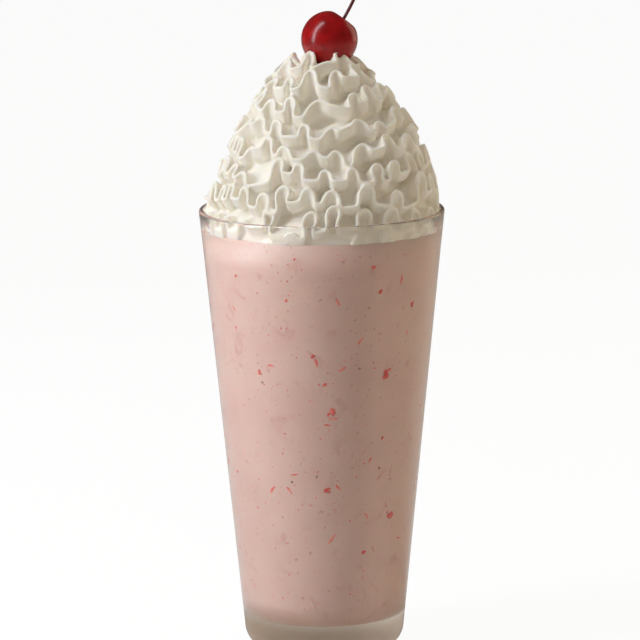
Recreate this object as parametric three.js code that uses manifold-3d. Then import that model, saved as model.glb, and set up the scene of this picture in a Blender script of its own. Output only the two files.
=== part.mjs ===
// A strawberry milkshake in a tall tapered glass, topped with ruffled whipped cream and a stemmed cherry.
// Millimetres, +Z up. The glass stands on z = 0 and its axis is the Z axis; the front is towards -Y.
import * as THREE from "three";
import { mergeVertices } from "three/addons/utils/BufferGeometryUtils.js";
import Module from "manifold-3d";

const wasm = await Module();
wasm.setup();

// Glass: a straight-sided tumbler with a thick base and a rounded heel
const CLEARANCE = 0.3; // between pieces that touch
const ROUNDING_ROOM = 0.1; // more where facets of two pieces don't line up
const GLASS_HEIGHT = 165;
const RIM_RADIUS = 45;
const FOOT_RADIUS = 28.7; // where the line of the side would meet the table
const RIM_WALL = 2.0;
const FOOT_WALL = 3.4;
const HEEL_RADIUS = 9;
const FLOOR_HEIGHT = 13; // thickness of the glass under the drink
const FLOOR_FILLET = 9;
const FOOT_RING_WIDTH = 2.5;
const PUNT_HEIGHT = 1.6; // how far the underside is pushed up
const ROUND_STEPS = 48; // facets round the glass

// Drink: filled to a little under the rim
const DRINK_LEVEL = 158;

// Whipped cream: a rounded mound of one ruffled ribbon, piped in a rising spiral
const MOUND_RADIUS = 43.4;
const MOUND_HEIGHT = 63.5; // above the rim
const MOUND_RISE_POWER = 1.55;
const MOUND_SPREAD_POWER = 1.4;
const MOUND_LEAN = 1.8; // its middle is so far to the right
const LEAN_HEIGHT = 56; // and at the rim and here it stands straight again
const TURN_PITCH = 9.4; // from one turn of the ribbon to the next, along the mound's slope
const SPIRAL_START = -8; // along the slope, under the drink's level, where the ribbon's line starts
const SPIRAL_TOP_RADIUS = 8.5; // where it ends, round the cherry
const SEAM_ANGLE = Math.PI / 2; // both ends are at the back
const PRESSED_DEPTH = 0.4; // share of the valleys' depth that is left at the drink's level, inside the glass
const PRESSED_UP_TO = 3; // above the rim, where they have their whole depth
const WANDER_SIZES = [1.1, 1.3, 1.2]; // how far the ribbon strays from its line
const WANDER_WAVES = [2, 5, 9]; // in so many waves a turn
const WANDER_DRIFT = [0.9, 1.7, 2.6]; // and how far the waves move on in each turn, in radians
const CREST_SWING = [0.6, 5.4]; // how far up a crest leaves the ribbon's line, faint and bold
const TROUGH_SWING = [-0.5, -2.2]; // and how far down a trough does
const FOLD_BEND = [0.85, 2.1]; // how far the lip turns aside by a faint and a bold crest; over 1.57 it loops
const BEND_POWER = 0.6; // how soon the bend grows with the crest
const BEND_STRAY = [-0.25, 0.1]; // how unlike a crest's two sides are
const TROUGH_SHARE = [0, 0.38]; // how much of a fold is its straight trough
const CREST_SHARPNESS = 0.7; // under 1, a crest is rounder than the corners at its foot
const FOLD_LIFT = [-1.4, 0.5]; // how far a crest or trough stands out of the mound's envelope
const FINE_FOLDS = 1; // size of the folds on the left
const BROAD_FOLDS = 1.45; // and on the right and round the cherry
const RISING_STATIONS = [0, 0.3, 0.55, 0.82]; // where a fold has its facets' corners, from trough to crest
const FALLING_STATIONS = [0, 0.18, 0.45, 0.7]; // and from crest to trough
const RUFFLE_SEED = 505;

// The ribbon from the valley under its lip to the back of its lip: how far up the slope from the ribbon's
// line, how deep under the envelope, the share of the lip's swing there, how far beside the lip's own line,
// and how many stations it goes on at a time
const RIBBON_LEVELS = [
  { rise: -4.3, depth: 6.0, follows: 0.2, beside: 0, every: 4 },
  { rise: -2.2, depth: 2.9, follows: 0.8, beside: -0.7, every: 2 },
  { rise: 0, depth: 0.1, follows: 1, beside: -0.6, every: 1 },
  { rise: 0, depth: 0.1, follows: 1, beside: 0.6, every: 1 },
  { rise: 0.7, depth: 4.2, follows: 0.75, beside: 0.7, every: 2 },
];

// Cherry: nearly round, dimpled where its stem leaves it
const CHERRY_RADIUS = 10.3;
const CHERRY_CENTRE = [3.2, 0.8, 226.9];
const CHERRY_TILT = 0.63; // to the right
const CHERRY_NOD = -0.18; // to the back
const DIMPLE_DEPTH = 2.6;
const DIMPLE_RADIUS = 3.2;
const STEM_RADIUS = 0.6;
const STEM_LENGTH = 33;
const STEM_BOW = 8; // how far its end has turned upright
const STEM_KNOB_RADIUS = 1.1; // where it left its twig

const { lerp } = THREE.MathUtils;

// Numbers from 0 to 1 in an order fixed by the seed
function seededDraw(seed) {
  let state = seed;
  return () => {
    state = (state * 16807) % 2147483647;
    return state / 2147483647;
  };
}

// Points on an arc of a profile, from one angle to another
function arc(centreR, centreZ, radius, from, to, steps) {
  return Array.from({ length: steps + 1 }, (_, i) => {
    const angle = lerp(from, to, i / steps);
    return new THREE.Vector2(centreR + radius * Math.cos(angle), centreZ + radius * Math.sin(angle));
  });
}

// A profile of (radius, height) points turned round the Z axis
function turned(profile, steps) {
  return new THREE.LatheGeometry(profile, steps).rotateX(Math.PI / 2);
}

function solidOf(geometry) {
  const bare = geometry.index ? geometry.toNonIndexed() : geometry.clone();
  bare.deleteAttribute("normal");
  bare.deleteAttribute("uv");
  const merged = mergeVertices(bare, 1e-4);
  return new wasm.Manifold(
    new wasm.Mesh({
      numProp: 3,
      vertProperties: merged.attributes.position.array,
      triVerts: new Uint32Array(merged.index.array),
    }),
  );
}

function geometryOf(solid) {
  const mesh = solid.getMesh();
  const geometry = new THREE.BufferGeometry();
  geometry.setAttribute("position", new THREE.BufferAttribute(mesh.vertProperties, 3));
  geometry.setIndex(new THREE.BufferAttribute(mesh.triVerts, 1));
  geometry.computeVertexNormals();
  return geometry;
}

function outerRadius(z) {
  return lerp(FOOT_RADIUS, RIM_RADIUS, z / GLASS_HEIGHT);
}

function innerRadius(z) {
  return outerRadius(z) - lerp(FOOT_WALL, RIM_WALL, z / GLASS_HEIGHT);
}

// The cavity's profile from the axis up its floor fillet, grown or shrunk by a gap
function cavityProfile(gap) {
  const cornerZ = FLOOR_HEIGHT + FLOOR_FILLET;
  const cornerR = innerRadius(cornerZ) - FLOOR_FILLET;
  const corner = arc(cornerR, cornerZ, FLOOR_FILLET - gap, -Math.PI / 2, 0, 5);
  return [new THREE.Vector2(0, FLOOR_HEIGHT + gap), ...corner];
}

function glassGeometry() {
  const heelR = outerRadius(HEEL_RADIUS) - HEEL_RADIUS;
  const rimR = RIM_RADIUS - RIM_WALL / 2;
  const rimZ = GLASS_HEIGHT - RIM_WALL / 2;
  const underside = [
    new THREE.Vector2(0, PUNT_HEIGHT),
    new THREE.Vector2(heelR * 0.5, PUNT_HEIGHT * 0.8),
    new THREE.Vector2(heelR - FOOT_RING_WIDTH, 0),
  ];
  const heel = arc(heelR, HEEL_RADIUS, HEEL_RADIUS, -Math.PI / 2, 0, 5);
  const rim = arc(rimR, rimZ, RIM_WALL / 2, 0, Math.PI, 4);
  return turned([...underside, ...heel, ...rim, ...cavityProfile(0).reverse()], ROUND_STEPS);
}

function drinkGeometry() {
  const edge = new THREE.Vector2(innerRadius(DRINK_LEVEL) - CLEARANCE, DRINK_LEVEL);
  const middle = new THREE.Vector2(0, DRINK_LEVEL);
  return turned([...cavityProfile(CLEARANCE), edge, middle], ROUND_STEPS);
}

// Radius of the mound's outer envelope at a height above the rim
function moundRadius(height) {
  const share = Math.min(Math.max(height / MOUND_HEIGHT, 0), 1);
  return MOUND_RADIUS * (1 - share ** MOUND_RISE_POWER) ** (1 / MOUND_SPREAD_POWER);
}

// The envelope's meridian as points along its slope from the drink's level, each with its outward normal
function moundMeridian() {
  const steps = 260;
  const low = DRINK_LEVEL - GLASS_HEIGHT + SPIRAL_START - TURN_PITCH;
  const points = [];
  let along = SPIRAL_START - TURN_PITCH;
  for (let i = 0; i <= steps; i++) {
    const height = lerp(low, MOUND_HEIGHT, (i / steps) ** 0.8);
    const point = { r: moundRadius(height), z: GLASS_HEIGHT + height };
    const last = points.at(-1);
    if (last) along += Math.hypot(point.r - last.r, point.z - last.z);
    points.push({ ...point, along });
  }
  points.forEach((point, i) => {
    const before = points[Math.max(i - 3, 0)];
    const after = points[Math.min(i + 3, steps)];
    const length = Math.hypot(after.r - before.r, after.z - before.z);
    point.normalR = (after.z - before.z) / length;
    point.normalZ = (before.r - after.r) / length;
  });
  return points;
}
const MERIDIAN = moundMeridian();

// The envelope's point, normal and slope at a distance along the slope
function onMeridian(along) {
  const found = MERIDIAN.findIndex((point) => point.along >= along);
  const high = found < 0 ? MERIDIAN.length - 1 : Math.max(found, 1);
  const a = MERIDIAN[high - 1];
  const b = MERIDIAN[high];
  const share = (along - a.along) / (b.along - a.along);
  const mix = (key) => lerp(a[key], b[key], share);
  return { r: mix("r"), z: mix("z"), normalR: mix("normalR"), normalZ: mix("normalZ") };
}

// A point under the envelope, and the directions there: round the mound and up its slope
function onMound(angle, along, depth) {
  const { r, z, normalR, normalZ } = onMeridian(along);
  const free = THREE.MathUtils.inverseLerp(DRINK_LEVEL, GLASS_HEIGHT + PRESSED_UP_TO, z);
  const share = lerp(PRESSED_DEPTH, 1, THREE.MathUtils.clamp(free, 0, 1));
  const radial = new THREE.Vector3(Math.cos(angle), Math.sin(angle), 0);
  const round = new THREE.Vector3(-Math.sin(angle), Math.cos(angle), 0);
  const up = new THREE.Vector3(0, 0, 1);
  const out = radial.clone().multiplyScalar(normalR).addScaledVector(up, normalZ);
  const slope = radial.clone().multiplyScalar(-normalZ).addScaledVector(up, normalR);
  const point = radial.multiplyScalar(r).addScaledVector(up, z).addScaledVector(out, -depth * share);
  point.x += MOUND_LEAN * Math.sin((Math.PI * Math.max(z - GLASS_HEIGHT, 0)) / LEAN_HEIGHT);
  return { point, round, slope };
}

// The lip's path from a trough to a crest, for a unit length: how far it gets forward and aside, and its
// heading, which swings out and back, so that a strong bend makes the lip loop over itself. A falling path
// is a rising one followed backwards.
function foldPath(bend, flat, rising) {
  const fine = 50;
  const headingAt = (share) =>
    bend * Math.sin(Math.PI * (Math.max(share - flat, 0) / (1 - flat)) ** CREST_SHARPNESS);
  const path = [{ forward: 0, aside: 0, heading: 0 }];
  for (let i = 0; i < fine; i++) {
    const heading = headingAt((i + 0.5) / fine);
    const last = path.at(-1);
    path.push({
      forward: last.forward + Math.cos(heading) / fine,
      aside: last.aside + Math.sin(heading) / fine,
      heading: headingAt((i + 1) / fine),
    });
  }
  if (rising) return path;
  const end = path.at(-1);
  return path.reverse().map(({ forward, aside, heading }) => ({
    forward: end.forward - forward,
    aside: end.aside - aside,
    heading,
  }));
}

// The ribbon's line along the slope, at an angle counted on from its start
function spiralAlong(angle) {
  const turns = angle / (2 * Math.PI);
  const line = SPIRAL_START + TURN_PITCH * turns;
  return WANDER_SIZES.reduce(
    (along, size, i) => along + size * Math.sin(WANDER_WAVES[i] * angle + WANDER_DRIFT[i] * turns),
    line,
  );
}

// The folds are finest on the left and broad on the right and round the cherry
function foldSize(angle, r) {
  const toRight = 0.5 + 0.5 * Math.cos(SEAM_ANGLE + angle + 0.6);
  const toTop = Math.max(0, 1 - r / MOUND_RADIUS);
  return lerp(FINE_FOLDS, BROAD_FOLDS, Math.max(toRight, toTop));
}

// The stations of the whole lip, fold after fold
function ribbonStations() {
  const draw = seededDraw(RUFFLE_SEED);
  const between = ([least, most]) => lerp(least, most, draw());
  const end = MERIDIAN.find((point) => point.r < SPIRAL_TOP_RADIUS).along;
  const stations = [];
  let angle = 0;
  let rising = true;
  let bold = 0;
  let from = { swing: 0, lift: 0 };
  while (spiralAlong(angle) < end) {
    const { r } = onMeridian(spiralAlong(angle));
    if (rising) bold = draw();
    const swing = rising ? lerp(...CREST_SWING, bold) : between(TROUGH_SWING);
    const to = { swing: foldSize(angle, r) * swing, lift: between(FOLD_LIFT) };
    const bend = lerp(...FOLD_BEND, bold ** BEND_POWER) + between(BEND_STRAY);
    const path = foldPath(bend, between(TROUGH_SHARE), rising);
    const { forward, aside } = path.at(-1);
    const length = Math.abs(to.swing - from.swing) / aside;
    const side = rising ? 1 : -1;
    for (const share of rising ? RISING_STATIONS : FALLING_STATIONS) {
      const at = path[Math.round(share * (path.length - 1))];
      stations.push({
        straight: angle + (length * forward * share) / r,
        angle: angle + (length * at.forward) / r,
        swing: from.swing + side * at.aside * length,
        lift: lerp(from.lift, to.lift, at.aside / aside),
        heading: side * at.heading,
      });
    }
    angle += (length * forward) / r;
    rising = !rising;
    from = to;
  }
  return stations;
}

// The cream is pressed flat where it meets the glass, and doesn't hang over its rim
function withinGlass(point) {
  const most = innerRadius(Math.min(point.z, GLASS_HEIGHT)) - CLEARANCE - ROUNDING_ROOM;
  const r = Math.hypot(point.x, point.y);
  if (r > most) {
    point.x *= most / r;
    point.y *= most / r;
  }
  return point;
}

// The points of one level of the ribbon, from its start to its end
function ribbonChain(stations, level) {
  const last = stations.length - 1;
  return stations
    .filter((_, i) => i % level.every === 0 || i === last)
    .map(({ straight, angle, swing, lift, heading }) => {
      const { follows, rise, depth, beside } = level;
      const turn = lerp(straight, angle, follows);
      const along = spiralAlong(straight) + rise + swing * follows;
      const here = onMound(SEAM_ANGLE + turn, along, depth - lift * follows);
      here.point
        .addScaledVector(here.slope, beside * Math.cos(heading * follows))
        .addScaledVector(here.round, -beside * Math.sin(heading * follows));
      return { point: withinGlass(here.point), at: straight };
    });
}

// Triangles between two chains of points that run side by side, the second on the left of the first
function zip(low, high, shift, faces) {
  let i = 0;
  let j = 0;
  while (i < low.length - 1 || j < high.length - 1) {
    const lowAt = i < low.length - 1 ? low[i + 1].at : Infinity;
    const highAt = j < high.length - 1 ? high[j + 1].at + shift : Infinity;
    if (lowAt <= highAt) {
      faces.push(low[i].index, low[i + 1].index, high[j].index);
      i++;
    } else {
      faces.push(low[i].index, high[j + 1].index, high[j].index);
      j++;
    }
  }
}

function fan(centre, edge, faces) {
  edge.forEach((corner, i) => faces.push(centre.index, corner.index, edge[(i + 1) % edge.length].index));
}

// The skin of the spiral: the ribbon's levels side by side, each turn's top joined to the next turn's bottom
function spiralSkin() {
  const stations = ribbonStations();
  const chains = RIBBON_LEVELS.map((level) => ribbonChain(stations, level));
  const low = chains[0];
  const high = chains.at(-1);
  const floor = { point: new THREE.Vector3(0, 0, low[0].point.z) };
  const roof = { point: new THREE.Vector3(0, 0, CHERRY_CENTRE[2] - CHERRY_RADIUS) };
  const corners = [floor, roof, ...chains.flat()];
  corners.forEach((corner, i) => (corner.index = i));
  const faces = [];
  for (let k = 0; k + 1 < chains.length; k++) zip(chains[k], chains[k + 1], 0, faces);
  const turn = 2 * Math.PI;
  const lowTurn = low.findIndex(({ at }) => at >= turn);
  const highTurn = high.findLastIndex(({ at }) => at <= high.at(-1).at - turn);
  zip(high.slice(0, highTurn + 1), low.slice(lowTurn), -turn, faces);
  const startColumn = chains.map((chain) => chain[0]).slice(1);
  const endColumn = chains.map((chain) => chain.at(-1)).slice(0, -1);
  fan(floor, [...startColumn.reverse(), ...low.slice(0, lowTurn + 1)].reverse(), faces);
  fan(roof, [...high.slice(highTurn), ...endColumn.reverse()], faces);
  const geometry = new THREE.BufferGeometry();
  const positions = corners.flatMap(({ point }) => [point.x, point.y, point.z]);
  geometry.setAttribute("position", new THREE.Float32BufferAttribute(positions, 3));
  geometry.setIndex(faces);
  return geometry;
}

// The cherry about its own centre, dimple up, grown by a gap for the seat that it presses into the cream
function cherryGeometry(gap, rows, steps) {
  const radius = CHERRY_RADIUS + gap;
  const profile = [];
  for (let row = 0; row <= rows; row++) {
    const angle = (Math.PI * row) / rows;
    const r = row % rows ? radius * Math.sin(angle) : 0;
    const dimple = angle > Math.PI / 2 ? DIMPLE_DEPTH * Math.exp(-((r / DIMPLE_RADIUS) ** 2)) : 0;
    profile.push(new THREE.Vector2(r, -radius * Math.cos(angle) - dimple));
  }
  return turned(profile, steps);
}

function placeOnCherry(object) {
  object.position.set(...CHERRY_CENTRE);
  object.rotation.set(CHERRY_NOD, CHERRY_TILT, 0);
  return object;
}

// The spiral above the drink, with the seat that the cherry has pressed into it; a loose scrap is left out
function creamGeometry() {
  const seat = placeOnCherry(new THREE.Mesh(cherryGeometry(CLEARANCE, 12, 20)));
  seat.updateMatrixWorld();
  const seatSolid = solidOf(seat.geometry.applyMatrix4(seat.matrixWorld));
  const level = DRINK_LEVEL + CLEARANCE;
  const below = new THREE.CylinderGeometry(RIM_RADIUS, RIM_RADIUS, level, 12).rotateX(Math.PI / 2);
  const belowSolid = solidOf(below.translate(0, 0, level / 2));
  const pieces = solidOf(spiralSkin()).subtract(belowSolid).subtract(seatSolid).decompose();
  pieces.sort((a, b) => b.volume() - a.volume());
  return geometryOf(pieces[0]);
}

// The stem rises from the dimple, turns upright, and ends in the knob where it left its twig
function stemGeometry() {
  const foot = CHERRY_RADIUS - DIMPLE_DEPTH + CLEARANCE;
  const path = new THREE.QuadraticBezierCurve3(
    new THREE.Vector3(0, 0, foot),
    new THREE.Vector3(-STEM_BOW * 0.15, 0, foot + STEM_LENGTH * 0.45),
    new THREE.Vector3(-STEM_BOW, 0, foot + STEM_LENGTH),
  );
  const section = new THREE.Shape();
  section.absarc(0, 0, STEM_RADIUS, 0, 2 * Math.PI);
  const stalk = new THREE.ExtrudeGeometry(section, { extrudePath: path, steps: 12, curveSegments: 6 });
  const knob = new THREE.SphereGeometry(STEM_KNOB_RADIUS, 10, 6).translate(-STEM_BOW, 0, foot + STEM_LENGTH);
  return geometryOf(solidOf(stalk).add(solidOf(knob)));
}

function material(colour, roughness) {
  return new THREE.MeshStandardMaterial({ color: colour, roughness, metalness: 0 });
}

const milkshake = new THREE.Group();

function addPiece(name, geometry, finish) {
  const piece = new THREE.Mesh(geometry, finish);
  piece.name = name;
  milkshake.add(piece);
  return piece;
}

const clearGlass = material(0xe8ecea, 0.05);
clearGlass.transparent = true;
clearGlass.opacity = 0.3;

addPiece("glass", glassGeometry(), clearGlass);
addPiece("milkshake", drinkGeometry(), material(0xdcb6aa, 0.5));
addPiece("whipped_cream", creamGeometry(), material(0xf2efe6, 0.6));
placeOnCherry(addPiece("cherry", cherryGeometry(0, 14, 26), material(0x8e1a1c, 0.15)));
placeOnCherry(addPiece("cherry_stem", stemGeometry(), material(0x5a1418, 0.45)));

export default milkshake;
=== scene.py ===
import math
import random

import bpy
import numpy as np
from mathutils import Matrix, Vector


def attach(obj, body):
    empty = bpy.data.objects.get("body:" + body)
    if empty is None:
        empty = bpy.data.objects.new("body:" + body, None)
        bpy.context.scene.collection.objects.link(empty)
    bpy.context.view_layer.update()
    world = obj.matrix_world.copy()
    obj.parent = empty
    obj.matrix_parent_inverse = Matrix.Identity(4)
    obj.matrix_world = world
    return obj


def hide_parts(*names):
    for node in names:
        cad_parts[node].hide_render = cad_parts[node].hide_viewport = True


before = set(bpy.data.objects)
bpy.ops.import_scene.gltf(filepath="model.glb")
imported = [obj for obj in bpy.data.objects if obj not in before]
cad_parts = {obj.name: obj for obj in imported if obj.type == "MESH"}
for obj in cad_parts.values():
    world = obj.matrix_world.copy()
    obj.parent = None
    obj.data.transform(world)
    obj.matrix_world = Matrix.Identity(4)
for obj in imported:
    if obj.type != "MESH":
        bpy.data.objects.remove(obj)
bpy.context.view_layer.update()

# ---------------------------------------------------------------- camera, light and floor
# A plain studio: a tall narrow softbox close on the left, weaker ones behind, on the right and in front,
# and a white floor that runs out to the horizon. The camera looks a little down on the glass from the
# front.
LENS = 233.2
SENSOR_SIDE = 36
PITCH = math.radians(10.59)
ROLL = math.radians(-0.38)
CAMERA_PLACE = Vector((-0.0009, -1.5, 0.4036))

forward = Vector((0, math.cos(PITCH), -math.sin(PITCH)))
level_right = Vector((1, 0, 0))
level_up = level_right.cross(forward)
camera_right = math.cos(ROLL) * level_right + math.sin(ROLL) * level_up
camera_up = math.cos(ROLL) * level_up - math.sin(ROLL) * level_right
bpy.ops.object.camera_add(location=CAMERA_PLACE)
camera = bpy.context.object
camera.data.lens = LENS
camera.data.sensor_width = SENSOR_SIDE
camera.matrix_world = Matrix((camera_right, camera_up, -forward)).transposed().to_4x4()
camera.location = CAMERA_PLACE
bpy.context.scene.camera = camera
bpy.context.scene.view_settings.view_transform = "Standard"

DAYLIGHT = (0.9, 0.945, 1.0)
WARM_WHITE = (1.0, 0.87, 0.66)
KEY_TARGET = (0, 0, 0.14)
GLASS_MIDDLE = (0, 0, 0.12)


def softbox(name, place, target, size, watts, light_colour):
    """A rectangular softbox, its width and height in metres, whose face looks at a target."""
    bpy.ops.object.light_add(type="AREA", location=place)
    lamp = bpy.context.object
    lamp.name = name
    lamp.data.shape = "RECTANGLE"
    lamp.data.size, lamp.data.size_y = size
    lamp.data.energy = watts
    lamp.data.color = light_colour
    lamp.visible_camera = False
    lamp.rotation_euler = (Vector(target) - Vector(place)).to_track_quat("-Z", "Y").to_euler()
    return lamp


# The key and the box behind on the right show in the glass and the cherry as highlights. The fills only
# even out the light, so glossy surfaces don't mirror them.
softbox("key_softbox", (-0.56, -0.22, 0.56), KEY_TARGET, (0.16, 1.1), 4.8, DAYLIGHT)
back_fill = softbox("back_left_softbox", (-0.5, 0.45, 0.35), GLASS_MIDDLE, (0.4, 0.6), 0.8, DAYLIGHT)
softbox("back_right_softbox", (0.75, 0.55, 0.45), GLASS_MIDDLE, (0.6, 0.8), 1.4, WARM_WHITE)
right_fill = softbox("right_softbox", (0.9, -0.1, 0.4), GLASS_MIDDLE, (0.4, 0.6), 1.2, WARM_WHITE)
front_fill = softbox("front_softbox", (0.3, -1.3, 0.35), GLASS_MIDDLE, (0.5, 0.5), 1.0, WARM_WHITE)
for fill in (back_fill, right_fill, front_fill):
    fill.visible_glossy = False


def linear(hex_colour):
    """A colour written as sRGB hex, turned to linear."""
    shares = [int(hex_colour[i : i + 2], 16) / 255 for i in (1, 3, 5)]
    return (*[s / 12.92 if s <= 0.04045 else ((s + 0.055) / 1.055) ** 2.4 for s in shares], 1)


def node(tree, kind, inputs=None, **settings):
    """A new node with its settings; each input is set to a value or linked from another node's output."""
    made = tree.nodes.new(kind)
    for name, value in settings.items():
        setattr(made, name, value)
    for name, value in (inputs or {}).items():
        if isinstance(value, bpy.types.NodeSocket):
            tree.links.new(value, made.inputs[name])
        else:
            made.inputs[name].default_value = value
    return made


def material_tree(name):
    """An empty material and its node tree."""
    material = bpy.data.materials.new(name)
    material.use_nodes = True
    material.node_tree.nodes.clear()
    return material, material.node_tree


# The room is a dim warm white that glossy surfaces mirror dimmer still, and the backdrop is pure white
ROOM_LIGHT = 0.25
ROOM_IN_GLOSS = 0.06

world = bpy.data.worlds.new("studio")
bpy.context.scene.world = world
world.use_nodes = True
tree = world.node_tree
tree.nodes.clear()
sight = node(tree, "ShaderNodeLightPath")
dimmed = node(
    tree,
    "ShaderNodeMath",
    {0: sight.outputs["Is Glossy Ray"], 1: ROOM_IN_GLOSS - ROOM_LIGHT, 2: ROOM_LIGHT},
    operation="MULTIPLY_ADD",
)
room = node(tree, "ShaderNodeBackground", {"Color": linear("#fff7ed"), "Strength": dimmed.outputs[0]})
backdrop = node(tree, "ShaderNodeBackground", {"Color": linear("#ffffff"), "Strength": 1.0})
both = node(
    tree,
    "ShaderNodeMixShader",
    {0: sight.outputs["Is Camera Ray"], 1: room.outputs[0], 2: backdrop.outputs[0]},
)
node(tree, "ShaderNodeOutputWorld", {"Surface": both.outputs[0]})

# The floor is matt white paper with fibres of about a millimetre, lit so brightly that its shadows are
# nearly lost
FLOOR_SIDE = 12
GLARE = 1.04
GLARE_SHARE = 0.9

bpy.ops.mesh.primitive_grid_add(x_subdivisions=4, y_subdivisions=4, size=FLOOR_SIDE, location=(0, 0, 0))
floor = bpy.context.object
floor.name = "floor"
paper, tree = material_tree("matt_white_paper")
sight = node(tree, "ShaderNodeLightPath")
place = node(tree, "ShaderNodeTexCoord").outputs["Object"]
fibre = node(tree, "ShaderNodeTexNoise", {"Vector": place, "Scale": 900, "Detail": 3})
bump = node(tree, "ShaderNodeBump", {"Height": fibre.outputs["Fac"], "Strength": 0.05, "Distance": 0.0005})
matt = node(tree, "ShaderNodeBsdfDiffuse", {"Color": linear("#eeedeb"), "Normal": bump.outputs[0]})
bright = node(tree, "ShaderNodeEmission", {"Color": linear("#ffffff"), "Strength": GLARE})
washed = node(
    tree,
    "ShaderNodeMath",
    {0: sight.outputs["Is Camera Ray"], 1: GLARE_SHARE},
    operation="MULTIPLY",
)
lit = node(tree, "ShaderNodeMixShader", {0: washed.outputs[0], 1: matt.outputs[0], 2: bright.outputs[0]})
node(tree, "ShaderNodeOutputMaterial", {"Surface": lit.outputs[0]})
floor.data.materials.append(paper)

# ---------------------------------------------------------------- glass
# A straight-sided tumbler of clear soda-lime glass that tapers to its foot. It is pressed, with a thick
# base, a rounded heel and a fire-polished rim, and stands on a narrow ring. Its sizes are in millimetres.
MM = 0.001
GLASS_HEIGHT = 165
RIM_RADIUS = 45
FOOT_RADIUS = 28.7
RIM_WALL = 2.0
FOOT_WALL = 3.4
HEEL_RADIUS = 9
FLOOR_HEIGHT = 13
FLOOR_FILLET = 9
FOOT_RING_WIDTH = 2.5
PUNT_HEIGHT = 1.6
ROUND_STEPS = 160
HEEL_STEPS = 14
FILLET_STEPS = 12
RIM_STEPS = 12
SIDE_STEPS = 10
MERGE_REACH = 0.01


def outer_radius(z):
    """The glass's outer radius at a height."""
    return FOOT_RADIUS + (RIM_RADIUS - FOOT_RADIUS) * z / GLASS_HEIGHT


def inner_radius(z):
    """The glass's inner radius at a height, above the fillet of its floor."""
    return outer_radius(z) - (FOOT_WALL + (RIM_WALL - FOOT_WALL) * z / GLASS_HEIGHT)


def arc(centre_r, centre_z, radius, start, end, steps):
    """Points on an arc of a profile, from one angle in degrees to another."""
    angles = [math.radians(start + (end - start) * i / steps) for i in range(steps + 1)]
    return [(centre_r + radius * math.cos(a), centre_z + radius * math.sin(a)) for a in angles]


def side_points(radius_at, low, high, count):
    """Points up a straight side between two heights, without its ends."""
    heights = [low + (high - low) * (i + 1) / (count + 1) for i in range(count)]
    return [(radius_at(z), z) for z in heights]


def cavity_profile(gap):
    """The cavity from the axis up its floor fillet, shrunk by a gap or grown by a negative one."""
    corner_z = FLOOR_HEIGHT + FLOOR_FILLET
    corner_r = inner_radius(corner_z) - FLOOR_FILLET
    floor_middle = [(0, FLOOR_HEIGHT + gap), (corner_r * 0.5, FLOOR_HEIGHT + gap)]
    return floor_middle + arc(corner_r, corner_z, FLOOR_FILLET - gap, -90, 0, FILLET_STEPS)


def spun(name, profile, steps):
    """A closed piece spun round the Z axis from a profile of (radius, height) points."""
    bpy.ops.object.select_all(action="DESELECT")
    bpy.ops.mesh.primitive_plane_add(size=MM, location=(0, 0, 0))
    piece = bpy.context.object
    piece.name = name
    bpy.ops.object.mode_set(mode="EDIT")
    bpy.ops.mesh.select_mode(type="VERT")
    bpy.ops.mesh.select_all(action="SELECT")
    bpy.ops.mesh.merge(type="CENTER")
    at = (0, 0)
    for i, (r, z) in enumerate(profile):
        step = ((r - at[0]) * MM, 0, (z - at[1]) * MM)
        if i:
            bpy.ops.mesh.extrude_region_move(TRANSFORM_OT_translate={"value": step})
        else:
            bpy.ops.transform.translate(value=step)
        at = (r, z)
    bpy.ops.mesh.select_all(action="SELECT")
    bpy.ops.mesh.spin(steps=steps, angle=2 * math.pi, center=(0, 0, 0), axis=(0, 0, 1))
    bpy.ops.mesh.select_all(action="SELECT")
    bpy.ops.mesh.remove_doubles(threshold=MERGE_REACH * MM)
    bpy.ops.mesh.normals_make_consistent(inside=False)
    bpy.ops.object.mode_set(mode="OBJECT")
    bpy.ops.object.shade_smooth()
    return piece


heel_r = outer_radius(HEEL_RADIUS) - HEEL_RADIUS
rim_z = GLASS_HEIGHT - RIM_WALL / 2
underside = [(0, PUNT_HEIGHT), (heel_r * 0.5, PUNT_HEIGHT * 0.8), (heel_r - FOOT_RING_WIDTH, 0.0)]
heel = arc(heel_r, HEEL_RADIUS, HEEL_RADIUS, -90, 0, HEEL_STEPS)
rim = arc(RIM_RADIUS - RIM_WALL / 2, rim_z, RIM_WALL / 2, 0, 180, RIM_STEPS)
outer_side = side_points(outer_radius, HEEL_RADIUS, rim_z, SIDE_STEPS)
inner_side = side_points(inner_radius, FLOOR_HEIGHT + FLOOR_FILLET, rim_z, SIDE_STEPS)
glass_profile = underside + heel + outer_side + rim + inner_side[::-1] + cavity_profile(0)[::-1]
glass = spun("clear_glass", glass_profile, ROUND_STEPS)

# Soda-lime glass, pressed and fire-polished: colourless, with a slow waviness of some 20 mm. The cold drink
# has drawn a breath of mist over it, patchy over 5 mm, which ends where the drink does and lies thick on
# the base as a frost. Low on the base the glass is tinted greyish beige as painted warm light, standing in
# for the warm room seen through the base. Lamps shine through it.
CLEAR = linear("#fefdfb")
PAINTED_WARM_LIGHT = linear("#dccab2")

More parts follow.
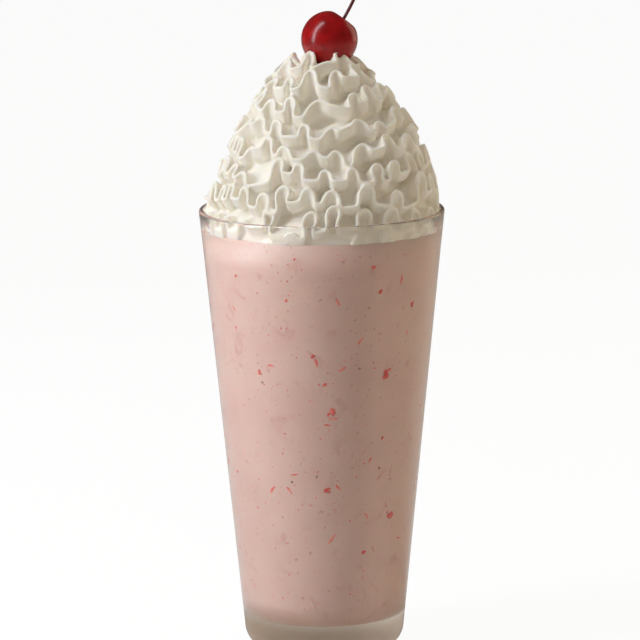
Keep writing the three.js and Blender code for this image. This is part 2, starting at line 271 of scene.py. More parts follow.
soda_glass, tree = material_tree("soda_lime_glass")
place = node(tree, "ShaderNodeTexCoord").outputs["Object"]
height = node(tree, "ShaderNodeSeparateXYZ", {"Vector": place}).outputs["Z"]
waves = node(tree, "ShaderNodeTexNoise", {"Vector": place, "Scale": 50, "Detail": 1})
haze = node(tree, "ShaderNodeTexNoise", {"Vector": place, "Scale": 220, "Detail": 4})
bump = node(tree, "ShaderNodeBump", {"Height": waves.outputs["Fac"], "Strength": 0.12, "Distance": 0.0006})
misted = node(
    tree,
    "ShaderNodeMapRange",
    {"Value": height, "From Min": 0.154, "From Max": 0.162, "To Min": 1.0, "To Max": 0.0},
)
mist = node(tree, "ShaderNodeMapRange", {"Value": haze.outputs["Fac"], "To Min": 0.03, "To Max": 0.07})
wall_mist = node(tree, "ShaderNodeMath", {0: misted.outputs[0], 1: mist.outputs[0]}, operation="MULTIPLY")
frost = node(
    tree,
    "ShaderNodeMapRange",
    {"Value": height, "From Min": 0.011, "From Max": 0.0175, "To Min": 0.5, "To Max": 0.0},
)
rough = node(tree, "ShaderNodeMath", {0: wall_mist.outputs[0], 1: frost.outputs[0]}, operation="ADD")
# painted warm light: from 12 to 18 mm up, the base fades to a greyish beige tint for the warm room seen
# through it
painted_warm_light_share = node(
    tree,
    "ShaderNodeMapRange",
    {"Value": height, "From Min": 0.012, "From Max": 0.018, "To Min": 1.0, "To Max": 0.0},
)
tint = node(tree, "ShaderNodeMixRGB", {"Fac": painted_warm_light_share.outputs[0], "Color1": CLEAR, "Color2": PAINTED_WARM_LIGHT})
clear = node(
    tree,
    "ShaderNodeBsdfPrincipled",
    {
        "Base Color": tint.outputs[0],
        "Roughness": rough.outputs[0],
        "IOR": 1.52,
        "Transmission Weight": 1.0,
        "Coat Weight": 1.0,
        "Coat Roughness": 0.42,
        "Coat IOR": 1.5,
        "Normal": bump.outputs[0],
    },
)
passing = node(tree, "ShaderNodeBsdfTransparent", {"Color": linear("#fbfaf8")})
ray = node(tree, "ShaderNodeLightPath")
through = node(
    tree,
    "ShaderNodeMixShader",
    {0: ray.outputs["Is Shadow Ray"], 1: clear.outputs[0], 2: passing.outputs[0]},
)
node(tree, "ShaderNodeOutputMaterial", {"Surface": through.outputs[0]})
glass.data.materials.append(soda_glass)
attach(glass, "root")
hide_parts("glass")

# ---------------------------------------------------------------- milkshake
# The drink: milk and ice cream blended with strawberries, so thick that it shows no bubbles. It is poured
# to 7 mm under the rim, wets the glass all round, and reaches just into the wall, so that no air gap shows.
DRINK_LEVEL = 158
WETTED = 0.08
SURFACE_RING = 24
DRINK_STEPS = 12

drink_side = side_points(inner_radius, FLOOR_HEIGHT + FLOOR_FILLET, DRINK_LEVEL, DRINK_STEPS)
drink_side = [(r + WETTED, z) for r, z in drink_side]
drink_top = [(r, DRINK_LEVEL) for r in (inner_radius(DRINK_LEVEL) + WETTED, SURFACE_RING, 0)]
drink = spun("strawberry_milkshake", cavity_profile(-WETTED) + drink_side + drink_top, ROUND_STEPS)

# Milkshake, blended: an opaque pale pink that light enters a few millimetres deep. Bits of fruit that are
# sunk behind its surface show as soft pinker blots of 3 to 9 mm, and the finest as specks of about a
# millimetre.
MILK_PINK = linear("#e5c3b6")
MILK_SHADE = linear("#dfbaae")
BLOT_PINK = linear("#cd8f88")
SPECK_RED = linear("#b8655c")

pink_shake, tree = material_tree("blended_strawberry_milk")
place = node(tree, "ShaderNodeTexCoord").outputs["Object"]
cloud = node(tree, "ShaderNodeTexNoise", {"Vector": place, "Scale": 60, "Detail": 3, "Roughness": 0.55})
blots = node(tree, "ShaderNodeTexNoise", {"Vector": place, "Scale": 150, "Detail": 2, "Distortion": 0.8})
specks = node(tree, "ShaderNodeTexNoise", {"Vector": place, "Scale": 620, "Detail": 1})
cloudy = node(tree, "ShaderNodeMapRange", {"Value": cloud.outputs["Fac"], "From Min": 0.35, "From Max": 0.65})
blotty = node(
    tree,
    "ShaderNodeMapRange",
    {"Value": blots.outputs["Fac"], "From Min": 0.62, "From Max": 0.76, "To Max": 0.55},
)
specky = node(
    tree,
    "ShaderNodeMapRange",
    {"Value": specks.outputs["Fac"], "From Min": 0.69, "From Max": 0.78, "To Max": 0.6},
)
milk = node(tree, "ShaderNodeMixRGB", {"Fac": cloudy.outputs[0], "Color1": MILK_PINK, "Color2": MILK_SHADE})
pinker = node(
    tree,
    "ShaderNodeMixRGB",
    {"Fac": blotty.outputs[0], "Color1": milk.outputs[0], "Color2": BLOT_PINK},
)
dotted = node(
    tree,
    "ShaderNodeMixRGB",
    {"Fac": specky.outputs[0], "Color1": pinker.outputs[0], "Color2": SPECK_RED},
)
body = node(
    tree,
    "ShaderNodeBsdfPrincipled",
    {
        "Base Color": dotted.outputs[0],
        "Roughness": 0.45,
        "IOR": 1.5,
        "Specular IOR Level": 1.0,
        "Sheen Weight": 1.0,
        "Sheen Roughness": 0.35,
        "Subsurface Weight": 0.6,
        "Subsurface Radius": (1.0, 0.55, 0.4),
        "Subsurface Scale": 0.002,
    },
)
node(tree, "ShaderNodeOutputMaterial", {"Surface": body.outputs[0]})
drink.data.materials.append(pink_shake)
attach(drink, "root")
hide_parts("milkshake")

# ---------------------------------------------------------------- strawberry bits
# Flakes and shreds of strawberry skin and flesh that the blades have left, fine flecks of them, and a few
# of the seeds. They float all through the drink; the ones against the wall are seen sharp. Lengths are in
# millimetres.
BIT_SEED = 77
FLAKE_SHAPE = (1.0, 0.62, 0.3)
FLAKE_RAGGED = 0.3
FLAKE_SHAPES = (3, 8, 21, 34)
HUSK_SHAPE = 5
SHRED_STEPS = 6
SHRED_STEP = 0.16
SHRED_CURLS = (1, -1, 0.5, -0.8)
PIECED_FLAKE = 1.7
BITS_BEHIND = 150
BEHIND = (math.radians(-15), math.radians(195))
ALL_ROUND = (0, 2 * math.pi)
BIT_LENGTHS = (1.0, 3.6)
BIT_HEIGHTS = (24, 154)
LOOSE_SEEDS = 7
SEED_LENGTH = 1.1
FLECKS = 700
FLECK_LENGTHS = (0.35, 0.8)
FLECK_HEIGHTS = (22, 156)
THICKEST = 1.2
WALL_LEAN = -0.09

# where the main ones are seen in the picture, in its pixels, each with its length
FRAME_SIDE = 640
SEEN_BITS = [
    ("flake", 287, 300, 1.5), ("flake", 295, 259, 1.2), ("flake", 373, 267, 1.8), ("shred", 400, 279, 3.6),
    ("flake", 379, 291, 2.0), ("flake", 409, 304, 2.2), ("shred", 337, 302, 3.0), ("shred", 404, 332, 2.6),
    ("shred", 359, 340, 3.2), ("flake", 313, 356, 1.8), ("shred", 317, 362, 3.2), ("flake", 261, 371, 1.9),
    ("shred", 272, 365, 2.6), ("flake", 319, 384, 1.1), ("flake", 325, 384, 1.5), ("shred", 342, 369, 3.2),
    ("flake", 384, 373, 3.8), ("flake", 415, 404, 1.4), ("flake", 332, 411, 3.0), ("shred", 333, 418, 3.5),
    ("shred", 327, 425, 2.4), ("flake", 380, 437, 1.4), ("shred", 368, 459, 2.4), ("flake", 242, 470, 1.5),
    ("shred", 296, 474, 2.0), ("seed", 293, 481, 1.1), ("shred", 291, 489, 3.0), ("shred", 274, 488, 3.3),
    ("seed", 317, 476, 1.1), ("flake", 327, 489, 2.6), ("shred", 337, 487, 2.8), ("shred", 365, 514, 2.8),
    ("flake", 387, 514, 3.6), ("shred", 332, 538, 4.2), ("shred", 394, 537, 2.4), ("flake", 362, 551, 2.0),
    ("flake", 238, 275, 1.4), ("shred", 237, 308, 2.2), ("flake", 239, 327, 1.4),
]


def seen_on_wall(x, y):
    """The angle and height on the drink's side that a pixel of the picture shows."""
    pixel = camera.data.sensor_width / FRAME_SIDE / camera.data.lens
    across = (x - FRAME_SIDE / 2) * pixel
    upward = (FRAME_SIDE / 2 - y) * pixel
    ray_way = forward + camera_right * across + camera_up * upward
    reach = 1.35
    while True:
        spot = CAMERA_PLACE + ray_way * reach
        if math.hypot(spot.x, spot.y) < inner_radius(spot.z / MM) * MM:
            return math.atan2(spot.y, spot.x), spot.z / MM
        reach += 0.0001


def wall_place(angle, z, proud):
    """The frame of a spot on the drink's side: its X runs round the wall, its Y up it and its Z out of it."""
    r = inner_radius(z) + WETTED + proud
    out = Vector((math.cos(angle), math.sin(angle), WALL_LEAN)).normalized()
    around = Vector((-math.sin(angle), math.cos(angle), 0))
    up = out.cross(around)
    turn = Matrix((around, up, out)).transposed().to_4x4()
    return Matrix.Translation(Vector((r * math.cos(angle), r * math.sin(angle), z)) * MM) @ turn


def model_flake(seed):
    """A torn flake 1 mm long, flat and irregular."""
    bpy.ops.object.select_all(action="DESELECT")
    bpy.ops.mesh.primitive_ico_sphere_add(subdivisions=2, radius=0.5 * MM, location=(0, 0, 0))
    bpy.ops.object.mode_set(mode="EDIT")
    bpy.ops.mesh.select_all(action="SELECT")
    bpy.ops.transform.resize(value=FLAKE_SHAPE)
    bpy.ops.transform.vertex_random(offset=FLAKE_RAGGED * MM, uniform=0.2, normal=0.0, seed=seed)
    bpy.ops.mesh.vertices_smooth(factor=0.3, repeat=1)
    bpy.ops.object.mode_set(mode="OBJECT")
    return bpy.context.object


def model_shred(curl):
    """A curled shred about 1 mm long: a thin strip, drawn out step by step, each turned a little more."""
    bpy.ops.object.select_all(action="DESELECT")
    end_size = (0.12 * MM, 0.2 * MM, 0.1 * MM)
    bpy.ops.mesh.primitive_cube_add(size=1, location=(-0.45 * MM, 0, 0), scale=end_size)
    bpy.ops.object.transform_apply(location=True, rotation=False, scale=True)
    shred = bpy.context.object
    bpy.ops.object.mode_set(mode="EDIT")
    bpy.ops.mesh.select_mode(type="FACE")
    bpy.ops.mesh.select_all(action="DESELECT")
    bpy.ops.object.mode_set(mode="OBJECT")
    for face in shred.data.polygons:
        face.select = face.normal.x > 0.9
    bpy.ops.object.mode_set(mode="EDIT")
    heading = 0
    centre = Vector((-0.39 * MM, 0, 0))
    for i in range(SHRED_STEPS):
        step = Vector((math.cos(heading), math.sin(heading), 0)) * SHRED_STEP * MM
        bpy.ops.mesh.extrude_region_move(TRANSFORM_OT_translate={"value": step})
        centre += step
        bpy.ops.transform.rotate(value=-curl[i], orient_axis="Z", center_override=centre)
        width = 1.35 if i < 2 else 0.8
        bpy.ops.transform.resize(value=(width, width, 1), center_override=centre)
        heading += curl[i]
    bpy.ops.object.mode_set(mode="OBJECT")
    bpy.ops.object.modifier_add(type="SUBSURF")
    shred.modifiers[-1].levels = 1
    shred.modifiers[-1].render_levels = 1
    bpy.ops.object.modifier_apply(modifier=shred.modifiers[-1].name)
    return shred


draw = random.Random(BIT_SEED)
flakes = [model_flake(seed) for seed in FLAKE_SHAPES]
shreds = [model_shred([draw.uniform(-0.3, 0.55) * way for _ in range(SHRED_STEPS)]) for way in SHRED_CURLS]
husks = [model_flake(HUSK_SHAPE)]
models = {"flake": flakes, "shred": shreds, "seed": husks, "fleck": flakes}
placed = {"flake": [], "shred": [], "seed": [], "fleck": []}

# the bits that the picture shows, the large flakes pieced together from smaller scraps
for kind, x, y, length in SEEN_BITS:
    angle, z = seen_on_wall(x, y)
    placed[kind].append((angle, z, length))
    for _ in range(3 if kind == "flake" and length > PIECED_FLAKE else 0):
        aside, above = draw.uniform(-0.45, 0.45) * length, draw.uniform(-0.45, 0.45) * length
        scrap = length * draw.uniform(0.3, 0.55)
        placed[kind].append((angle + aside / inner_radius(z), z + above, scrap))

# the bits round the back, and the seeds and flecks all round
for _ in range(BITS_BEHIND):
    kind = draw.choice(["flake", "flake", "flake", "shred", "shred"])
    angle = draw.uniform(*BEHIND)
    placed[kind].append((angle, draw.uniform(*BIT_HEIGHTS), draw.uniform(*BIT_LENGTHS)))
for _ in range(LOOSE_SEEDS):
    placed["seed"].append((draw.uniform(*ALL_ROUND), draw.uniform(*BIT_HEIGHTS), SEED_LENGTH))
for _ in range(FLECKS):
    angle = draw.uniform(*ALL_ROUND)
    placed["fleck"].append((angle, draw.uniform(*FLECK_HEIGHTS), draw.uniform(*FLECK_LENGTHS)))


def scatter(kind, name, material, proud):
    """All bits of one kind, joined to one piece that stands a little proud of the drink's side."""
    bpy.ops.object.select_all(action="DESELECT")
    bits = []
    for angle, z, length in placed[kind]:
        model = draw.choice(models[kind])
        bit = bpy.data.objects.new(name, model.data.copy())
        bpy.context.collection.objects.link(bit)
        turn = Matrix.Rotation(draw.uniform(*ALL_ROUND), 4, "Z")
        size = Matrix.Diagonal((length, length, min(length, THICKEST), 1))
        bit.data.transform(wall_place(angle, z, proud) @ turn @ size)
        bit.select_set(True)
        bits.append(bit)
    bpy.context.view_layer.objects.active = bits[0]
    bpy.ops.object.join()
    piece = bpy.context.object
    piece.name = name
    bpy.ops.object.shade_smooth()
    piece.data.materials.clear()
    piece.data.materials.append(material)
    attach(piece, "root")


def torn_fruit(name, grain, deep, pale, roughness):
    """Strawberry as the blades leave it, mottled between a deep and a pale red."""
    material, tree = material_tree(name)
    place = node(tree, "ShaderNodeTexCoord").outputs["Object"]
    mottle = node(tree, "ShaderNodeTexNoise", {"Vector": place, "Scale": grain, "Detail": 3}).outputs["Fac"]
    paleness = node(tree, "ShaderNodeMapRange", {"Value": mottle, "From Min": 0.35, "From Max": 0.65})
    red = node(tree, "ShaderNodeMixRGB", {"Fac": paleness.outputs[0], "Color1": deep, "Color2": pale})
    surface = {"Base Color": red.outputs[0], "Roughness": roughness, "IOR": 1.36}
    flesh = node(tree, "ShaderNodeBsdfPrincipled", surface)
    node(tree, "ShaderNodeOutputMaterial", {"Surface": flesh.outputs[0]})
    return material


# Strawberry skin, torn: wet and bright red, with paler patches of 2 to 3 mm where flesh clings to it.
# Strawberry flesh, shredded: a softer, paler red that is a little rougher.
red_skin = torn_fruit("torn_strawberry_skin", 420, linear("#e2362c"), linear("#f47a6c"), 0.4)
pale_flesh = torn_fruit("shredded_strawberry_flesh", 350, linear("#ea5b4e"), linear("#f5a393"), 0.45)

# Strawberry seed: a hard, dry tan husk with a darker grain
seed_husk, tree = material_tree("strawberry_seed_husk")
place = node(tree, "ShaderNodeTexCoord").outputs["Object"]
grain = node(tree, "ShaderNodeTexNoise", {"Vector": place, "Scale": 1500, "Detail": 2})
tan = node(
    tree,
    "ShaderNodeMixRGB",
    {"Fac": grain.outputs["Fac"], "Color1": linear("#8a6238"), "Color2": linear("#b98f58")},
)
husk = node(tree, "ShaderNodeBsdfPrincipled", {"Base Color": tan.outputs[0], "Roughness": 0.5})
node(tree, "ShaderNodeOutputMaterial", {"Surface": husk.outputs[0]})

scatter("flake", "strawberry_flakes", red_skin, 0.02)
scatter("shred", "strawberry_shreds", pale_flesh, 0.04)
scatter("fleck", "strawberry_flecks", pale_flesh, 0.06)
scatter("seed", "strawberry_seeds", seed_husk, 0.02)
for model in flakes + shreds + husks:
    bpy.data.objects.remove(model)

# ---------------------------------------------------------------- whipped cream
# Stiff whipped cream, piped through a flat nozzle as one ribbon that rises in a spiral to the cherry. It is
# pushed on faster than the nozzle turns, so the ribbon's lip falls into folds. Inside the rim it is pressed
# flat against the glass. Sizes are in millimetres and headings in radians.
MOUND_RADIUS = 43.4
MOUND_HEIGHT = 63.5
MOUND_RISE_POWER = 1.55
MOUND_SPREAD_POWER = 1.4
MOUND_LEAN = 1.8
LEAN_HEIGHT = 56
MOUND_POINTS = 261
MOUND_CROWDING = 0.8
NORMAL_REACH = 3
TURN_PITCH = 9.4
SPIRAL_START = -8
SPIRAL_TOP_RADIUS = 8.5
SEAM_ANGLE = math.pi / 2
PRESSED_DEPTH = 0.4
PRESSED_UP_TO = 3
WANDER_SIZES = [1.1, 1.3, 1.2]
WANDER_WAVES = [2, 5, 9]
WANDER_DRIFT = [0.9, 1.7, 2.6]
CREST_SWING = [0.6, 5.4]
TROUGH_SWING = [-0.5, -2.2]
FOLD_BEND = [0.85, 2.1]
BEND_POWER = 0.6
BEND_STRAY = [-0.25, 0.1]
TROUGH_SHARE = [0.0, 0.38]
CREST_SHARPNESS = 0.7
FOLD_LIFT = [-1.4, 0.5]
FINE_FOLDS = 1.0
BROAD_FOLDS = 1.45
BROAD_FOLDS_ANGLE = 0.6
FOLD_STEPS = 50
FEWEST_STATIONS = 6
STATION_GAP = 0.45
RUFFLE_SEED = 505
CREAM_FOOT = DRINK_LEVEL - 0.4
CORE_DEPTH = 7
CORE_STEPS = 64
PLUG_GAP = 2.2
CHERRY_RADIUS = 10.3
CHERRY_CENTRE = Vector((3.2, 0.8, 226.9))
VOXEL = 0.5
CREAM_TRIANGLES = 190000

# The ribbon's section from the valley under its lip, over the lip's bead, to the valley behind: how far up
# the slope from the ribbon's line, how deep under the mound's outline, its share of the folds, and how far
# beside its line
RIBBON_SECTION = [
    (-4.9, 8.0, 0.0, 0.0),
    (-4.3, 6.0, 0.2, 0.0),
    (-3.4, 4.4, 0.55, -0.6),
    (-2.3, 2.8, 0.85, -0.75),
    (-1.2, 1.7, 0.96, -0.66),
    (-0.4, 1.0, 1.0, -0.62),
    (0.0, 0.45, 1.0, -0.74),
    (0.0, 0.06, 1.0, -0.54),
    (0.0, -0.1, 1.0, 0.0),
    (0.0, 0.06, 1.0, 0.54),
    (0.0, 0.45, 1.0, 0.74),
    (-0.1, 1.0, 0.99, 0.62),
    (-0.2, 2.0, 0.95, 0.6),
    (0.1, 3.4, 0.87, 0.8),
    (1.2, 4.9, 0.6, 0.6),
    (4.6, 6.0, 0.2, 0.0),
    (5.1, 8.0, 0.0, 0.0),
]

# the mound's outline as points along its slope, each with its outward normal
low = DRINK_LEVEL - GLASS_HEIGHT + SPIRAL_START - TURN_PITCH
mound_height = low + (MOUND_HEIGHT - low) * np.linspace(0, 1, MOUND_POINTS) ** MOUND_CROWDING
mound_share = np.clip(mound_height / MOUND_HEIGHT, 0, 1)
mound_r = MOUND_RADIUS * (1 - mound_share**MOUND_RISE_POWER) ** (1 / MOUND_SPREAD_POWER)
mound_z = GLASS_HEIGHT + mound_height
steps = np.hypot(np.diff(mound_r), np.diff(mound_z))
mound_along = SPIRAL_START - TURN_PITCH + np.concatenate([[0], np.cumsum(steps)])
before = np.maximum(np.arange(MOUND_POINTS) - NORMAL_REACH, 0)
after = np.minimum(np.arange(MOUND_POINTS) + NORMAL_REACH, MOUND_POINTS - 1)
span = np.hypot(mound_r[after] - mound_r[before], mound_z[after] - mound_z[before])
mound_normal_r = (mound_z[after] - mound_z[before]) / span
mound_normal_z = (mound_r[before] - mound_r[after]) / span


def on_mound(angle, along, depth):
    """Points under the mound's outline, and the directions there: round the mound and up its slope."""
    r = np.interp(along, mound_along, mound_r)
    z = np.interp(along, mound_along, mound_z)
    normal_r = np.interp(along, mound_along, mound_normal_r)
    normal_z = np.interp(along, mound_along, mound_normal_z)
    flat = np.zeros_like(angle)
    radial = np.stack([np.cos(angle), np.sin(angle), flat], axis=-1)
    around = np.stack([-np.sin(angle), np.cos(angle), flat], axis=-1)
    up = np.array([0, 0, 1.0])
    out = radial * normal_r[:, None] + up * normal_z[:, None]
    slope = -radial * normal_z[:, None] + up * normal_r[:, None]
    free = np.clip((z - DRINK_LEVEL) / (GLASS_HEIGHT + PRESSED_UP_TO - DRINK_LEVEL), 0, 1)
    depth = depth * (PRESSED_DEPTH + (1 - PRESSED_DEPTH) * free)
    points = radial * r[:, None] + up * z[:, None] - out * depth[:, None]
    points[:, 0] += MOUND_LEAN * np.sin(np.pi * np.maximum(z - GLASS_HEIGHT, 0) / LEAN_HEIGHT)
    return points, around, slope


def spiral_along(angle):
    """How far along the slope the ribbon's line is, at an angle counted on from its start."""
    turns = angle / (2 * math.pi)
    line = SPIRAL_START + TURN_PITCH * turns
    for size, waves_a_turn, drift in zip(WANDER_SIZES, WANDER_WAVES, WANDER_DRIFT):
        line = line + size * np.sin(waves_a_turn * angle + drift * turns)
    return line


def fold_path(bend, flat, rising):
    """The lip's path from trough to crest or back, for a unit length: how far forward, and how far up."""
    shares = (np.arange(FOLD_STEPS) + 0.5) / FOLD_STEPS
    headings = bend * np.sin(np.pi * (np.maximum(shares - flat, 0) / (1 - flat)) ** CREST_SHARPNESS)
    forward_way = np.concatenate([[0], np.cumsum(np.cos(headings))]) / FOLD_STEPS
    aside_way = np.concatenate([[0], np.cumsum(np.sin(headings))]) / FOLD_STEPS
    if rising:
        return forward_way, aside_way
    return forward_way[-1] - forward_way[::-1], aside_way[-1] - aside_way[::-1]


def seeded_numbers(seed):
    """Numbers from 0 to 1 in an order fixed by the seed."""
    multiplier = 16807
    prime = 2**31 - 1
    state = seed
    while True:
        state = state * multiplier % prime
        yield state / prime


def ribbon_stations():
    """The stations of the whole lip, fold after fold: angles before and after folding, swing and lift."""
    numbers = seeded_numbers(RUFFLE_SEED)

    def between(limits):
        return limits[0] + (limits[1] - limits[0]) * next(numbers)

    end = mound_along[np.argmax(mound_r < SPIRAL_TOP_RADIUS)]
    shares = np.arange(FOLD_STEPS + 1) / FOLD_STEPS
    stations = []
    angle, rising, swing, lift = 0.0, True, 0.0, 0.0
    while spiral_along(angle) < end:
        r = np.interp(spiral_along(angle), mound_along, mound_r)
        to_right = 0.5 + 0.5 * math.cos(SEAM_ANGLE + angle + BROAD_FOLDS_ANGLE)
        to_top = max(0, 1 - r / MOUND_RADIUS)
        size = FINE_FOLDS + (BROAD_FOLDS - FINE_FOLDS) * max(to_right, to_top)
        if rising:
            bold = next(numbers)
            to_swing = size * (CREST_SWING[0] + (CREST_SWING[1] - CREST_SWING[0]) * bold)
        else:
            to_swing = size * between(TROUGH_SWING)
        to_lift = between(FOLD_LIFT)
        bend = FOLD_BEND[0] + (FOLD_BEND[1] - FOLD_BEND[0]) * bold**BEND_POWER + between(BEND_STRAY)
        forward_way, aside_way = fold_path(bend, between(TROUGH_SHARE), rising)
        length = abs(to_swing - swing) / aside_way[-1]
        t = np.arange(max(FEWEST_STATIONS, round(length / STATION_GAP)))
        t = t / len(t)
        forward_here = np.interp(t, shares, forward_way)
        aside_here = np.interp(t, shares, aside_way)
        stations.append(np.stack([
            angle + length * forward_way[-1] * t / r,
            angle + forward_here * length / r,
            swing + (1 if rising else -1) * (aside_here * length),
            lift + (to_lift - lift) * aside_here / aside_way[-1],
        ]))
        angle += length * forward_way[-1] / r
        rising, swing, lift = not rising, to_swing, to_lift
    return np.concatenate(stations, axis=1)


# the ribbon: its section set out at every station, as one ring of points after another
straight, folded, fold_swing, lift = ribbon_stations()
line_r = np.interp(spiral_along(straight), mound_along, mound_r)
chains = []
for rise, depth, folds, beside in RIBBON_SECTION:
    turn = straight + (folded - straight) * folds
    swing = fold_swing * folds
    along = spiral_along(straight) + rise + swing
    points, around, slope = on_mound(SEAM_ANGLE + turn, along, depth - lift * folds)
    heading = np.arctan2(np.gradient(swing), np.gradient(turn) * line_r)
    points = points + slope * (beside * np.cos(heading))[:, None]
    points = points - around * (beside * np.sin(heading))[:, None]
    chains.append(points)
rings = np.stack(chains, axis=1)


def fitted(points):
    """Points held within the glass, above the drink and clear of the cherry."""
    points = points.copy()
    reach = np.hypot(points[:, 0], points[:, 1])
    most = inner_radius(np.minimum(points[:, 2], GLASS_HEIGHT)) + WETTED
    outside = reach > most
    points[outside, :2] *= (most / np.maximum(reach, 1e-6))[outside, None]
    points[:, 2] = np.maximum(points[:, 2], CREAM_FOOT)
    cherry_middle = np.array(CHERRY_CENTRE)
    from_cherry = points - cherry_middle
    distance = np.linalg.norm(from_cherry, axis=1)
    within = distance < CHERRY_RADIUS
    points[within] = cherry_middle + from_cherry[within] * (CHERRY_RADIUS / distance[within])[:, None]
    return points


count, levels = rings.shape[:2]
corners = fitted(rings.reshape(-1, 3))
faces = []
for i in range(count - 1):
    for k in range(levels):
        a, b = i * levels + k, i * levels + (k + 1) % levels
        faces.append((a, a + levels, b + levels, b))
faces.append(tuple(range(levels))[::-1])
faces.append(tuple(range((count - 1) * levels, count * levels)))
ribbon_mesh = bpy.data.meshes.new("ribbon")
ribbon_mesh.from_pydata([tuple(c) for c in corners * MM], [], faces)
ribbon = bpy.data.objects.new("ribbon", ribbon_mesh)
bpy.context.collection.objects.link(ribbon)

# the core that the ribbon is wound on, with a plug that fills the glass's mouth behind the pressed turns
core_r = np.maximum(mound_r - CORE_DEPTH * mound_normal_r, 0)
core_z = mound_z - CORE_DEPTH * mound_normal_z
core_side = [(r, z) for r, z in zip(core_r, core_z) if z > CREAM_FOOT + 1 and r > 2][::6]
core_top = (0, core_side[-1][1])
core_side = [(r, z) for r, z in core_side if z > GLASS_HEIGHT + 3]
plug_r = inner_radius(GLASS_HEIGHT) - PLUG_GAP
plug = [(0, CREAM_FOOT), (plug_r - 0.6, CREAM_FOOT), (plug_r, GLASS_HEIGHT - 3), (plug_r - 1.5, GLASS_HEIGHT)]
core = spun("core", plug + core_side + [core_top], CORE_STEPS)

# core and ribbon run together into one skin, which is fitted again because that moves it a little
bpy.ops.object.select_all(action="DESELECT")
core.select_set(True)
ribbon.select_set(True)
bpy.context.view_layer.objects.active = ribbon
bpy.ops.object.join()
cream = bpy.context.object
cream.name = "ruffled_whipped_cream"
bpy.ops.object.modifier_add(type="REMESH")
cream.modifiers[-1].mode = "VOXEL"
cream.modifiers[-1].voxel_size = VOXEL * MM
bpy.ops.object.modifier_apply(modifier=cream.modifiers[-1].name)
triangles = sum(len(face.vertices) - 2 for face in cream.data.polygons)
bpy.ops.object.modifier_add(type="DECIMATE")
cream.modifiers[-1].ratio = min(1, CREAM_TRIANGLES / triangles)
bpy.ops.object.modifier_apply(modifier=cream.modifiers[-1].name)
coordinates = np.empty(len(cream.data.vertices) * 3)
cream.data.vertices.foreach_get("co", coordinates)
coordinates = fitted(coordinates.reshape(-1, 3) / MM) * MM
cream.data.vertices.foreach_set("co", coordinates.ravel())
cream.data.update()
bpy.ops.object.shade_smooth()

# Whipped cream, piped: matt to satin and ivory, its tone drifting over 14 mm, with light entering a
# millimetre or so and turning yellow in the hollows. Its foam leaves fine pits of about a millimetre.
CREAM_LIGHT = linear("#f9f4ea")
CREAM_DEEP = linear("#f4ede0")

whipped, tree = material_tree("whipped_cream")
place = node(tree, "ShaderNodeTexCoord").outputs["Object"]
foam = node(tree, "ShaderNodeTexNoise", {"Vector": place, "Scale": 900, "Detail": 4, "Roughness": 0.6})
tone = node(tree, "ShaderNodeTexNoise", {"Vector": place, "Scale": 70, "Detail": 2})
ivory = node(
    tree,
    "ShaderNodeMixRGB",
    {"Fac": tone.outputs["Fac"], "Color1": CREAM_LIGHT, "Color2": CREAM_DEEP},
)
bump = node(tree, "ShaderNodeBump", {"Height": foam.outputs["Fac"], "Strength": 0.15, "Distance": 0.0003})
fat = node(
    tree,
    "ShaderNodeBsdfPrincipled",
    {
        "Base Color": ivory.outputs[0],
        "Roughness": 0.5,
        "IOR": 1.4,
        "Subsurface Weight": 0.35,
        "Subsurface Radius": (1.0, 0.8, 0.45),
        "Subsurface Scale": 0.0012,
        "Normal": bump.outputs[0],
    },
)
node(tree, "ShaderNodeOutputMaterial", {"Surface": fat.outputs[0]})
cream.data.materials.clear()
cream.data.materials.append(whipped)
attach(cream, "root")
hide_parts("whipped_cream")

# ---------------------------------------------------------------- cherry
# A stemmed cocktail cherry, steeped in red syrup: nearly round, a little flattened round the dimple that its
# stem leaves from. It leans to the right in the seat that it has pressed into the cream.
CHERRY_TILT = 0.63
CHERRY_NOD = -0.18
CHERRY_ROWS = 48
CHERRY_STEPS = 96
DIMPLE_DEPTH = 2.6
DIMPLE_RADIUS = 3.2

cherry_profile = []
for row in range(CHERRY_ROWS + 1):
    angle = math.pi * row / CHERRY_ROWS
    r = CHERRY_RADIUS * math.sin(angle) if row % CHERRY_ROWS else 0
    dimple = DIMPLE_DEPTH * math.exp(-((r / DIMPLE_RADIUS) ** 2)) if angle > math.pi / 2 else 0
    cherry_profile.append((r, -CHERRY_RADIUS * math.cos(angle) - dimple))
cherry = spun("cocktail_cherry", cherry_profile, CHERRY_STEPS)
cherry_lean = Matrix.Rotation(CHERRY_NOD, 4, "X") @ Matrix.Rotation(CHERRY_TILT, 4, "Y")
on_cherry = Matrix.Translation(CHERRY_CENTRE * MM) @ cherry_lean
cherry.matrix_world = on_cherry
bpy.ops.object.transform_apply(location=True, rotation=True, scale=True)

# Cherry skin, candied: deep red, mottled over 5 mm and dented over 2 mm, with light going far into it under
# a wet coat of syrup
CHERRY_DEEP = linear("#900d10")
CHERRY_BRIGHT = linear("#ac1216")

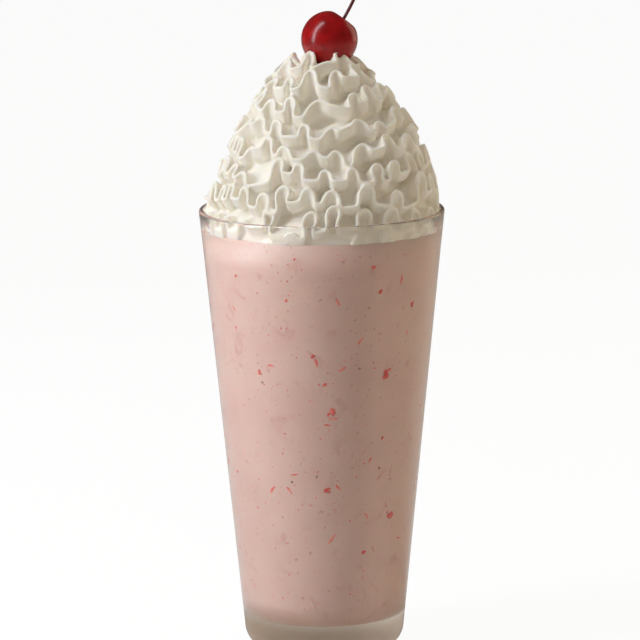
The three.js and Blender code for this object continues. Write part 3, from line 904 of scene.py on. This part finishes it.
candied, tree = material_tree("candied_cherry_skin")
place = node(tree, "ShaderNodeTexCoord").outputs["Object"]
mottle = node(tree, "ShaderNodeTexNoise", {"Vector": place, "Scale": 220, "Detail": 3})
dents = node(tree, "ShaderNodeTexNoise", {"Vector": place, "Scale": 500, "Detail": 2})
spread = node(
    tree,
    "ShaderNodeMapRange",
    {"Value": mottle.outputs["Fac"], "From Min": 0.35, "From Max": 0.65},
)
red = node(
    tree,
    "ShaderNodeMixRGB",
    {"Fac": spread.outputs[0], "Color1": CHERRY_DEEP, "Color2": CHERRY_BRIGHT},
)
bump = node(tree, "ShaderNodeBump", {"Height": dents.outputs["Fac"], "Strength": 0.08, "Distance": 0.0004})
skin = node(
    tree,
    "ShaderNodeBsdfPrincipled",
    {
        "Base Color": red.outputs[0],
        "Roughness": 0.25,
        "IOR": 1.36,
        "Subsurface Weight": 0.4,
        "Subsurface Radius": (1.0, 0.2, 0.15),
        "Subsurface Scale": 0.003,
        "Coat Weight": 0.4,
        "Coat Roughness": 0.08,
        "Coat IOR": 1.36,
        "Normal": bump.outputs[0],
    },
)
node(tree, "ShaderNodeOutputMaterial", {"Surface": skin.outputs[0]})
cherry.data.materials.append(candied)
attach(cherry, "root")
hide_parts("cherry")

# ---------------------------------------------------------------- stem
# The cherry's stem, dyed dark red by the syrup. It rises from the dimple, bows until it is upright, and
# ends in the knob where it left its twig.
STEM_RADIUS = 0.6
STEM_LENGTH = 33
STEM_BOW = 8
STEM_KNOB_RADIUS = 1.1

stem_foot = CHERRY_RADIUS - DIMPLE_DEPTH
bpy.ops.object.select_all(action="DESELECT")
bpy.ops.curve.primitive_bezier_curve_add(location=(0, 0, 0))
stem = bpy.context.object
stem.name = "cherry_stem_dyed"
line = stem.data.splines[0].bezier_points
ends = [Vector((0, 0, stem_foot)), Vector((-STEM_BOW, 0, stem_foot + STEM_LENGTH))]
middle = Vector((-STEM_BOW * 0.15, 0, stem_foot + STEM_LENGTH * 0.45))
handles = [ends[0].lerp(middle, 2 / 3), ends[1].lerp(middle, 2 / 3)]
for point, at, inner in zip(line, ends, handles):
    point.handle_left_type = point.handle_right_type = "FREE"
    point.co = at * MM
    point.handle_left = point.handle_right = inner * MM
line[0].handle_left = (ends[0] * 2 - handles[0]) * MM
line[1].handle_right = (ends[1] * 2 - handles[1]) * MM
stem.data.bevel_depth = STEM_RADIUS * MM
stem.data.bevel_resolution = 4
stem.data.resolution_u = 32
stem.data.use_fill_caps = True
bpy.ops.object.convert(target="MESH")
knob_place = ends[1] * MM
bpy.ops.mesh.primitive_uv_sphere_add(
    segments=16, ring_count=10, radius=STEM_KNOB_RADIUS * MM, location=knob_place
)
stem.select_set(True)
bpy.context.view_layer.objects.active = stem
bpy.ops.object.join()
stem.matrix_world = on_cherry
bpy.ops.object.transform_apply(location=True, rotation=True, scale=True)
bpy.ops.object.shade_smooth()

# Cherry stalk, steeped in syrup: smooth bark, finely wrinkled over a millimetre, dark red with redder spots
STALK_DARK = linear("#4a1015")
STALK_RED = linear("#74222a")

stalk, tree = material_tree("steeped_cherry_stalk")
place = node(tree, "ShaderNodeTexCoord").outputs["Object"]
bark = node(tree, "ShaderNodeTexNoise", {"Vector": place, "Scale": 800, "Detail": 3}).outputs["Fac"]
tone = node(tree, "ShaderNodeMixRGB", {"Fac": bark, "Color1": STALK_DARK, "Color2": STALK_RED})
bump = node(tree, "ShaderNodeBump", {"Height": bark, "Strength": 0.2, "Distance": 0.0002})
stalk_skin = node(
    tree,
    "ShaderNodeBsdfPrincipled",
    {"Base Color": tone.outputs[0], "Roughness": 0.35, "Coat Weight": 0.3, "Normal": bump.outputs[0]},
)
node(tree, "ShaderNodeOutputMaterial", {"Surface": stalk_skin.outputs[0]})
stem.data.materials.append(stalk)
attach(stem, "root")
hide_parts("cherry_stem")
